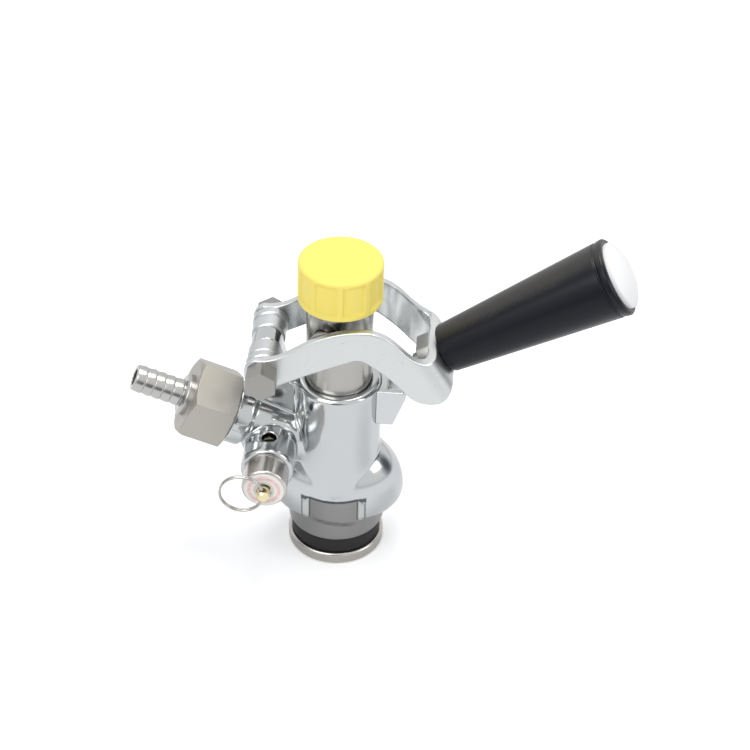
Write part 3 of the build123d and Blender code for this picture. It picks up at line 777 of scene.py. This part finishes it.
def woven(points: np.ndarray) -> bpy.types.Mesh:
    """Joins a grid of points with quads, from row to row and round each row.

    Args:
        points: Places by row and by column, rows by columns by 3.

    Returns:
        A closed mesh. Rows that shrink to a point become poles, and open ends are filled.
    """
    rows, columns = points.shape[:2]
    index = np.arange(rows * columns).reshape(rows, columns)
    right = np.roll(index, -1, axis=1)
    quads = np.stack([index[:-1], right[:-1], right[1:], index[1:]], axis=-1).reshape(-1, 4)
    mesh = bpy.data.meshes.new("woven")
    mesh.from_pydata(points.reshape(-1, 3), [], quads.tolist())
    tidy(mesh)
    return mesh


def tidy(mesh: bpy.types.Mesh) -> None:
    """Merges doubled points, closes any holes, turns faces outwards and shades them smooth.

    Args:
        mesh: The mesh that is changed.
    """
    work = bmesh.new()
    work.from_mesh(mesh)
    bmesh.ops.remove_doubles(work, verts=work.verts, dist=1e-7)
    bmesh.ops.dissolve_degenerate(work, edges=work.edges, dist=1e-8)
    bmesh.ops.holes_fill(work, edges=[e for e in work.edges if e.is_boundary], sides=0)
    bmesh.ops.recalc_face_normals(work, faces=work.faces)
    work.to_mesh(mesh)
    work.free()
    mesh.shade_smooth()


def lathe(profile: np.ndarray, segments: int, swell: np.ndarray) -> bpy.types.Mesh:
    """Turns a profile about local Z: point (r, z) sweeps (r cos a, r sin a, z) for angles a.

    Args:
        profile: Radii and heights, n by 2, from pole to pole.
        segments: Steps round the axis.
        swell: Change of radius at each profile point and angle, n by segments.

    Returns:
        A closed mesh.
    """
    angle = np.linspace(0.0, 2.0 * np.pi, segments, endpoint=False)
    radius = profile[:, :1] + swell
    height = profile[:, 1:] + 0.0 * angle
    return woven(np.stack([radius * np.cos(angle), radius * np.sin(angle), height], axis=-1))


def piped(path: np.ndarray, out: np.ndarray, side: np.ndarray, radius: float) -> bpy.types.Mesh:
    """Carries a circle along a path: path + radius (out cos a + side sin a) for angles a.

    Args:
        path: Points of the wire's middle, n by 3.
        out: Direction of the circle's first axis at each point, n by 3.
        side: Direction of its second axis, the same all along.
        radius: Radius of the circle.

    Returns:
        A closed mesh with flat ends.
    """
    about = np.linspace(0.0, 2.0 * np.pi, WIRE_SIDES, endpoint=False)
    first = np.cos(about)[None, :, None] * out[:, None]
    second = np.sin(about)[None, :, None] * side
    return woven(path[:, None] + radius * (first + second))


def rounded(corners: list[Triple], steps: int) -> np.ndarray:
    """Rounds the corners of an open profile.

    Each corner is replaced by a quadratic curve that starts and ends its rounding length away along
    both sides and is drawn towards the corner.

    Args:
        corners: Radius, height and rounding length of each corner, in millimetres.
        steps: Points on each rounded corner.

    Returns:
        The profile's radii and heights in metres, n by 2.
    """
    points = np.array(corners, float)
    share = np.linspace(0.0, 1.0, steps)[:, None]
    out = [points[:1, :2]]
    for before, corner, after in zip(points[:-2], points[1:-1], points[2:]):
        here = corner[:2]
        start = here + (before[:2] - here) * corner[2] / np.linalg.norm(before[:2] - here)
        end = here + (after[:2] - here) * corner[2] / np.linalg.norm(after[:2] - here)
        out.append((1 - share) ** 2 * start + 2 * share * (1 - share) * here + share**2 * end)
    out.append(points[-1:, :2])
    return np.concatenate(out) * MM


def split(profile: np.ndarray, longest: float) -> np.ndarray:
    """Adds points so that no run of a profile is longer than a given length.

    Args:
        profile: Radii and heights, n by 2.
        longest: The longest run.

    Returns:
        The profile with its added points.
    """
    runs = np.linalg.norm(np.diff(profile, axis=0), axis=1)
    parts = np.maximum(1, np.ceil(runs / longest).astype(int))
    at = np.concatenate([k + np.arange(n) / n for k, n in enumerate(parts)] + [[len(parts)]])
    order = np.arange(len(profile))
    return np.stack([np.interp(at, order, profile[:, k]) for k in (0, 1)], axis=1)


def put(name: str, mesh: bpy.types.Mesh, place: Matrix | None = None) -> bpy.types.Object:
    """Makes an object at the origin, with its place in its mesh.

    Args:
        name: The piece's name.
        mesh: Its mesh.
        place: The transform that carries the mesh to its place, if it isn't there already.

    Returns:
        The new object.
    """
    mesh.name = name
    if place is not None:
        mesh.transform(place)
    piece = bpy.data.objects.new(name, mesh)
    bpy.context.scene.collection.objects.link(piece)
    return piece


def node_copy(node: str, flat_within: float = 0.0) -> bpy.types.Mesh:
    """Copies a CAD node's mesh with its loose triangles merged into one skin.

    Args:
        node: The CAD node.
        flat_within: Faces that meet within this many degrees become one, if it is over 0.

    Returns:
        The new mesh.
    """
    work = bmesh.new()
    work.from_mesh(frame["nodes"][node].data)
    bmesh.ops.remove_doubles(work, verts=work.verts, dist=2e-6)
    if flat_within > 0.0:
        limit = math.radians(flat_within)
        bmesh.ops.dissolve_limit(work, angle_limit=limit, verts=work.verts, edges=work.edges)
    mesh = bpy.data.meshes.new(node)
    work.to_mesh(mesh)
    work.free()
    return mesh


# ------------------------------------------------------------------ pieces
@dataclass(frozen=True)
class Skin:
    """How a CAD node's skin is rebuilt as one surface.

    Attributes:
        voxel: Size of the cells that it is rebuilt from, in millimetres.
        rounds: Smoothing passes that blend its corners.
        share: Share of the rebuilt faces that is kept.
    """

    voxel: float
    rounds: int
    share: float


@dataclass(frozen=True)
class Coil:
    """The wire of a spring.

    Attributes:
        wire: Its diameter in millimetres.
        turns: Number of its turns.
    """

    wire: float
    turns: float


class Assembly:
    """A group of pieces that are dressed together."""

    def keep(self, node: str, finish: Finish) -> None:
        """Shows a CAD node as it is, in a better finish."""
        dress(frame["nodes"][node], finish)
        log.info("%s keeps its CAD shape in %s", node, finish.name)

    def show(self, piece: bpy.types.Object, node: str, finish: Finish) -> None:
        """Makes a piece ride and be shown in its finish in place of one CAD node.

        Args:
            piece: The piece.
            node: The CAD node that it stands for.
            finish: Its finish.
        """
        dress(piece, finish)
        carried = frame["record"]["behaviour"]["bodies"]
        body = next(name for name, nodes in carried.items() if node in nodes)
        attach(piece, body)
        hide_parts(node)
        faces = len(piece.data.polygons)
        log.info("%s rides on %s in place of %s, %d faces", piece.name, body, node, faces)

    def eased(self, node: str, finish: Finish, width: float) -> None:
        """Shows a copy of a CAD node whose sharp edges are eased.

        Args:
            node: The CAD node.
            finish: Its finish.
            width: Width of the eased edge in millimetres.
        """
        mesh = node_copy(node, flat_within=0.05)
        mesh.shade_smooth()
        piece = put(f"{node}_eased", mesh)
        bevel = piece.modifiers.new("eased_edges", "BEVEL")
        bevel.width = width * MM
        bevel.segments = 2
        bevel.limit_method = "ANGLE"
        bevel.angle_limit = SHARP
        bevel.use_clamp_overlap = True
        piece.modifiers.new("flat_faces", "WEIGHTED_NORMAL").weight = 100
        self.show(piece, node, finish)

    def wound(self, node: str, travel: str, coil: Coil) -> None:
        """Winds a compression spring along its sliding joint's axis; it keeps its length as the joint moves.

        The middle of the wire climbs a helix whose pitch is small in its end turns. A circle is
        carried along it, square to the axis' radius.

        Args:
            node: The CAD node, whose axis, length and radius are kept.
            travel: The sliding joint whose axis the spring is wound along.
            coil: Its wire.
        """
        row = joint(travel)
        line, length, radius = turned_line(node, Vector(row["axis"]))
        half = coil.wire * MM / 2
        turn = np.linspace(0.0, 2.0 * np.pi * coil.turns, int(TURN_STEPS * coil.turns) + 1)
        share = turn / turn[-1]
        climb = half + (length - 2 * half) * (0.25 * share + 0.75 * ease(share, 0.0, 1.0))
        out = np.stack([np.cos(turn), np.sin(turn), 0 * turn], axis=1)
        path = (radius - half) * out + np.outer(climb, (0.0, 0.0, 1.0))
        mesh = piped(path, out, np.array((0.0, 0.0, 1.0)), half)
        piece = put(f"{node}_wound", mesh, line.place())
        self.show(piece, node, Finish.SPRING)
        end = line.origin + line.direction * length
        keep = 1.0 - max(row["range_m"]) / length
        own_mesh(piece)

    def reskinned(self, node: str, finish: Finish, skin: Skin) -> None:
        """Shows a CAD node's skin rebuilt as one surface, with corners blended by smoothing.

        Args:
            node: The CAD node.
            finish: Its finish.
            skin: How its skin is rebuilt.
        """
        piece = put(f"{node}_skin", node_copy(node))
        remesh = piece.modifiers.new("skin", "REMESH")
        remesh.mode = "VOXEL"
        remesh.voxel_size = skin.voxel * MM
        smooth = piece.modifiers.new("blend", "SMOOTH")
        smooth.factor = 0.5
        smooth.iterations = skin.rounds
        piece.modifiers.new("thin", "DECIMATE").ratio = skin.share
        done = bpy.data.meshes.new_from_object(
            piece.evaluated_get(bpy.context.evaluated_depsgraph_get())
        )
        piece.modifiers.clear()
        piece.data = done
        done.shade_smooth()
        self.show(piece, node, finish)


@dataclass
class Casting(Assembly):
    """The plated body and what is fixed to it.

    Attributes:
        skin: How the casting's skin is rebuilt.
    """

    skin: Skin = Skin(0.36, 20, 0.22)

    def build(self) -> None:
        """Rebuilds the casting's skin with blended corners, and dresses the rest."""
        self.reskinned("main_casting", Finish.CHROME, self.skin)
        self.eased("retaining_ring", Finish.RING, 0.3)
        self.eased("base_seal", Finish.RUBBER, 0.3)
        self.keep("barrel_orings", Finish.RUBBER)
        self.eased("catch_bracket", Finish.ZINC, 0.3)
        self.eased("catch_screw", Finish.STUD, 0.15)


@dataclass
class BeerWay(Assembly):
    """The beer tube with its seal, ball and cage, and the dust cap on its outlet.

    Attributes:
        flutes: Recessed panels round the cap.
        recess: Their depth in millimetres.
        rib: Width of the ribs between them in millimetres.
        band: Height of the plain bands above and below them in millimetres.
        edge: Rounding of the cap's top edge in millimetres.
        thread: Gap between the cap's bore and its liner's side, in millimetres.
        seat: Gap between the cap's roof and its liner's top, in millimetres.
        first: Angle of one rib's middle from +X, in degrees.
        segments: Steps round the cap.
        longest: Longest step down its side in millimetres.
    """

    flutes: int = 9
    recess: float = 0.9
    rib: float = 2.4
    band: float = 2.2
    edge: float = 1.7
    thread: float = 0.7
    seat: float = 0.1
    first: float = -87.0
    segments: int = 432
    longest: float = 0.5

    def build(self) -> None:
        """Dresses the tube and builds the cap."""
        self.eased("beer_tube", Finish.TUBE, 0.25)
        self.eased("foot_seal", Finish.RUBBER, 0.25)
        self.keep("check_ball", Finish.PLUG)
        self.eased("ball_cage", Finish.TUBE, 0.15)
        self.keep("cap_liner", Finish.RUBBER)
        self.cap()

    def cap(self) -> None:
        """Builds the cap: its radius dips by the recess between ribs and between the plain bands.

        The dip is the product of two smooth steps, one round the axis and one up the side, so each
        panel has soft edges like a moulding's.
        """
        low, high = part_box("dust_cap")
        liner_low, liner_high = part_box("cap_liner")
        radius = (high.x - low.x) / 2 / MM
        bore = (liner_high.x - liner_low.x) / 2 / MM + self.thread
        bottom, top = low.z / MM, high.z / MM
        roof = liner_high.z / MM + self.seat
        corners = [
            (0.0, roof, 0.0),
            (bore, roof, 0.5),
            (bore, bottom, 0.4),
            (radius, bottom, 0.5),
            (radius, top, self.edge),
            (0.0, top, 0.0),
        ]
        profile = split(rounded(corners, 8), self.longest * MM)
        angle = np.linspace(0.0, 360.0, self.segments, endpoint=False)
        pitch = 360.0 / self.flutes
        off = np.abs((angle - self.first + pitch / 2) % pitch - pitch / 2)
        across = ease(np.radians(off) * radius, self.rib / 2 - 0.15, self.rib / 2 + 0.35)
        height = profile[:, 1] / MM
        foot, brow = bottom + self.band, top - self.band
        up = ease(height, foot - 0.3, foot + 0.3) * (1.0 - ease(height, brow - 0.3, brow + 0.3))
        outside = ease(profile[:, 0] / MM, radius - 1.0, radius - 0.2)
        swell = -self.recess * MM * (up * outside)[:, None] * across[None, :]
        piece = put("dust_cap_moulded", lathe(profile, self.segments, swell))
        self.show(piece, "dust_cap", Finish.CAP)


@dataclass
class Lever(Assembly):
    """The bent-sheet yoke, its pins and the bolt that it swings on.

    Attributes:
        skin: How the yoke's skin is rebuilt.
        spring: Wire of the handle spring.
    """

    skin: Skin = Skin(0.3, 8, 0.25)
    spring: Coil = Coil(0.8, 7.0)

    def build(self) -> None:
        """Dresses every piece of the lever and winds the handle spring."""
        self.reskinned("lever_yoke", Finish.YOKE, self.skin)
        self.eased("drive_pins", Finish.BOLT, 0.2)
        self.eased("pivot_bolt", Finish.BOLT, 0.3)
        self.eased("pivot_nut", Finish.BOLT, 0.25)
        self.eased("pivot_spacers", Finish.BUSH, 0.15)
        self.eased("pivot_washers", Finish.BUSH, 0.15)
        self.eased("handle_guide", Finish.STUD, 0.2)
        self.eased("guide_nut", Finish.BUSH, 0.3)
        self.wound("handle_spring", "handle_pull", self.spring)


class Handle(Assembly):
    """The black grip, its white end plug and the stud in it."""

    def build(self) -> None:
        """Dresses every piece of the handle."""
        self.eased("handle_grip", Finish.GRIP, 0.5)
        self.eased("grip_end_plug", Finish.PLUG, 0.4)
        self.eased("handle_stud", Finish.STUD, 0.2)


class GasInlet(Assembly):
    """The union nut, the barbed tail and the seals behind them."""

    def build(self) -> None:
        """Dresses every piece of the inlet."""
        self.eased("union_nut", Finish.UNION, 0.45)
        self.eased("hose_tail", Finish.TAIL, 0.15)
        self.keep("tail_washer", Finish.RUBBER)
        self.keep("gas_duckbill", Finish.RUBBER)


@dataclass
class ReliefValve(Assembly):
    """The relief valve's steel insert, stem, label ring and wire pull ring.

    Attributes:
        wire: Radius of the pull ring's wire in millimetres.
        lap: Distance between the middles of its two turns in millimetres.
        steps: Points along its wire.
        spring: Wire of the relief spring.
    """

    wire: float = 0.42
    lap: float = 0.84
    steps: int = 385
    spring: Coil = Coil(0.7, 5.0)

    def build(self) -> None:
        """Dresses the valve and winds its spring and its pull ring."""
        self.eased("relief_insert", Finish.VALVE, 0.25)
        self.keep("relief_label", Finish.LABEL)
        self.eased("relief_stem", Finish.BRASS, 0.2)
        self.keep("relief_seal", Finish.RUBBER)
        self.wound("relief_spring", "relief_pull", self.spring)
        self.ring()

    def ring(self) -> None:
        """Winds the split ring: two turns of wire side by side, with a short cross-over.

        The middle of the wire runs round a circle twice, and steps from one side of the ring to the
        other over a twelfth of a turn. A circle is carried along it, square to its way.
        """
        low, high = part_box("pull_ring")
        reach = (high.z - low.z) / 2 - 2.0 * self.wire * MM
        turn = np.linspace(0.0, 4.0 * np.pi, self.steps)
        side = (ease(turn / (2 * np.pi), 0.96, 1.04) - 0.5) * self.lap * MM
        out = np.stack([np.cos(turn), 0 * turn, np.sin(turn)], axis=1)
        across = np.array((0.0, 1.0, 0.0))
        path = np.array((low + high) / 2) + reach * out + np.outer(side, across)
        piece = put("pull_ring_wound", piped(path, out, across, self.wire * MM))
        self.show(piece, "pull_ring", Finish.SPRING)


# ------------------------------------------------------------------ studio
@dataclass(frozen=True)
class Lamp:
    """A square soft lamp.

    Attributes:
        name: Its name.
        place: Where it hangs.
        size: Length of its side in metres.
        power: Its power in watts.
    """

    name: str
    place: Triple
    size: float
    power: float


@dataclass
class Studio:
    """A pale floor, soft lamps, dark cards and the camera.

    Attributes:
        target: Point on the middle of the view.
        reach: Camera's distance from it.
        azimuth: Camera's turn towards +X, in degrees.
        elevation: Its height above the horizon, in degrees.
        roll: Its turn about its own axis, in degrees.
        lens: Focal length in millimetres, for a sensor of the width below.
        sensor: Width of the sensor in millimetres.
        nearest: Nearest distance that the camera sees, in metres.
        farthest: Farthest distance that it sees, in metres.
        floor_half: Half the floor's side in metres.
        floor_gap: Gap between the ring's bottom and the floor in millimetres.
        floor_tone: Colour of the floor.
        floor_glow: Light that only the camera sees in it.
        sky_tone: Colour of the light from all sides.
        sky_power: Strength of that light.
        lamps: The lamps.
        cards: Name and middle of each dark card.
        card_half: Half a card's side in metres.
        card_core: Share of that over which the card is fully dark.
        card_tone: Colour of the cards.
    """

    target: Triple = (0.013596, 0.0, 0.08080)
    reach: float = 0.82568
    azimuth: float = 2.5
    elevation: float = 38.5
    roll: float = 1.9
    lens: float = 105.6
    sensor: float = 36.0
    nearest: float = 0.05
    farthest: float = 20.0
    floor_half: float = 3.0
    floor_gap: float = 0.05
    floor_tone: Colour = (0.93, 0.93, 0.93)
    floor_glow: float = 0.22
    sky_tone: Colour = (0.95, 0.97, 1.0)
    sky_power: float = 0.55
    lamps: tuple[Lamp, ...] = (
        Lamp("key", (-0.35, -0.55, 0.75), 0.55, 3.4),
        Lamp("top", (0.1, 0.15, 0.95), 0.4, 4.0),
        Lamp("side", (0.75, -0.2, 0.45), 0.4, 1.4),
    )
    cards: tuple[tuple[str, Triple], ...] = (
        ("front_card", (0.0, -0.62, 0.14)),
        ("left_card", (-0.6, -0.15, 0.16)),
        ("right_card", (0.62, 0.1, 0.16)),
    )
    card_half: float = 0.3
    card_core: float = 0.2
    card_tone: Colour = (0.10, 0.11, 0.13)

    def build(self) -> None:
        """Builds the floor, the sky, the lamps, the dark cards and the camera."""
        bpy.context.scene.view_settings.view_transform = "Standard"
        self.floor()
        self.sky()
        for lamp in self.lamps:
            self.hang(lamp)
        for name, place in self.cards:
            self.card(name, place)
        self.camera()

    def square(self, name: str, half: float, place: Matrix) -> bpy.types.Object:
        """Lays one square face in its place.

        Args:
            name: Its name.
            half: Half its side in metres.
            place: The transform that carries it to its place.

        Returns:
            The new object.
        """
        corners = [(-half, -half, 0.0), (half, -half, 0.0), (half, half, 0.0), (-half, half, 0.0)]
        mesh = bpy.data.meshes.new(name)
        mesh.from_pydata(corners, [], [(0, 1, 2, 3)])
        sheet = put(name, mesh, place)
        return sheet

    def floor(self) -> None:
        """Lays a pale floor that shows white to the camera and keeps its shadow."""
        level = Matrix.Translation((0.0, 0.0, -self.floor_gap * MM))
        floor = self.square("floor", self.floor_half, level)
        graph = Graph.of_material("pale_floor")
        matt = graph.node("ShaderNodeBsdfDiffuse", {}, {"Color": rgba(self.floor_tone)})
        glow = graph.node("ShaderNodeEmission", {}, {"Strength": self.floor_glow})
        both = graph.node("ShaderNodeAddShader", {}, {0: matt, 1: glow})
        shown = graph.node("ShaderNodeLightPath", out="Is Camera Ray")
        graph.finish(graph.node("ShaderNodeMixShader", {}, {0: shown, 1: matt, 2: both}))
        floor.data.materials.append(graph.owner)

    def sky(self) -> None:
        """Lights the scene from all sides, and shows white to the camera and in reflections."""
        world = bpy.data.worlds.new("studio")
        bpy.context.scene.world = world
        graph = Graph(world)
        seen = graph.node("ShaderNodeLightPath", out="Is Camera Ray")
        for ray in ("Is Glossy Ray", "Is Transmission Ray"):
            seen = seen.either(graph.node("ShaderNodeLightPath", out=ray))
        light = {"Color": rgba(self.sky_tone), "Strength": self.sky_power}
        soft = graph.node("ShaderNodeBackground", {}, light)
        white = graph.node("ShaderNodeBackground", {}, {"Color": (1.0, 1.0, 1.0, 1.0)})
        graph.finish(graph.node("ShaderNodeMixShader", {}, {0: seen, 1: soft, 2: white}))

    def hang(self, lamp: Lamp) -> None:
        """Hangs a lamp that faces the coupler.

        Args:
            lamp: The lamp.
        """
        data = bpy.data.lights.new(lamp.name, "AREA")
        data.shape = "SQUARE"
        data.size = lamp.size
        data.energy = lamp.power
        hung = bpy.data.objects.new(lamp.name, data)
        bpy.context.scene.collection.objects.link(hung)
        hung.location = lamp.place
        back = Vector(lamp.place) - Vector(self.target)
        hung.rotation_euler = back.to_track_quat("Z", "Y").to_euler()

    def card(self, name: str, place: Triple) -> None:
        """Stands a dark card with soft edges that only reflections show, as studio flags do.

        Args:
            name: Its name.
            place: Its middle.
        """
        facing = (Vector(self.target) - Vector(place)).to_track_quat("Z", "Y").to_matrix().to_4x4()
        card = self.square(name, self.card_half, Matrix.Translation(place) @ facing)
        graph = Graph.of_material(name)
        away = graph.length(graph.vector("SUBTRACT", graph.place, place))
        clear = graph.node("ShaderNodeBsdfTransparent")
        dark = graph.node("ShaderNodeBsdfDiffuse", {}, {"Color": rgba(self.card_tone)})
        share = graph.step(away, self.card_core * self.card_half, self.card_half)
        graph.finish(graph.node("ShaderNodeMixShader", {}, {0: share, 1: dark, 2: clear}))
        card.data.materials.append(graph.owner)
        card.visible_camera = False
        card.visible_diffuse = False
        card.visible_shadow = False

    def camera(self) -> None:
        """Places the camera on its sphere about the target, then rolls it."""
        data = bpy.data.cameras.new("camera")
        data.lens = self.lens
        data.sensor_width = self.sensor
        data.clip_start = self.nearest
        data.clip_end = self.farthest
        turn, lift = math.radians(self.azimuth), math.radians(self.elevation)
        ahead = Vector((math.sin(turn), -math.cos(turn), 0.0))
        back = ahead * math.cos(lift) + Vector((0.0, 0.0, math.sin(lift)))
        level = Vector((math.cos(turn), math.sin(turn), 0.0))
        upright = back.cross(level)
        lean = math.radians(self.roll)
        right = level * math.cos(lean) + upright * math.sin(lean)
        spin = Matrix((right, back.cross(right), back)).transposed().to_4x4()
        camera = bpy.data.objects.new("camera", data)
        bpy.context.scene.collection.objects.link(camera)
        camera.matrix_world = Matrix.Translation(Vector(self.target) + back * self.reach) @ spin
        bpy.context.scene.camera = camera


def main() -> None:
    """Builds the studio and every sub-assembly."""
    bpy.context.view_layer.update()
    Studio().build()
    for kind in (Casting, BeerWay, Lever, Handle, GasInlet, ReliefValve):
        log.info("building %s", kind.__name__)
        kind().build()


if __name__ == "__main__":
    logging.basicConfig(level=logging.INFO, format="%(name)s: %(message)s")
    main()
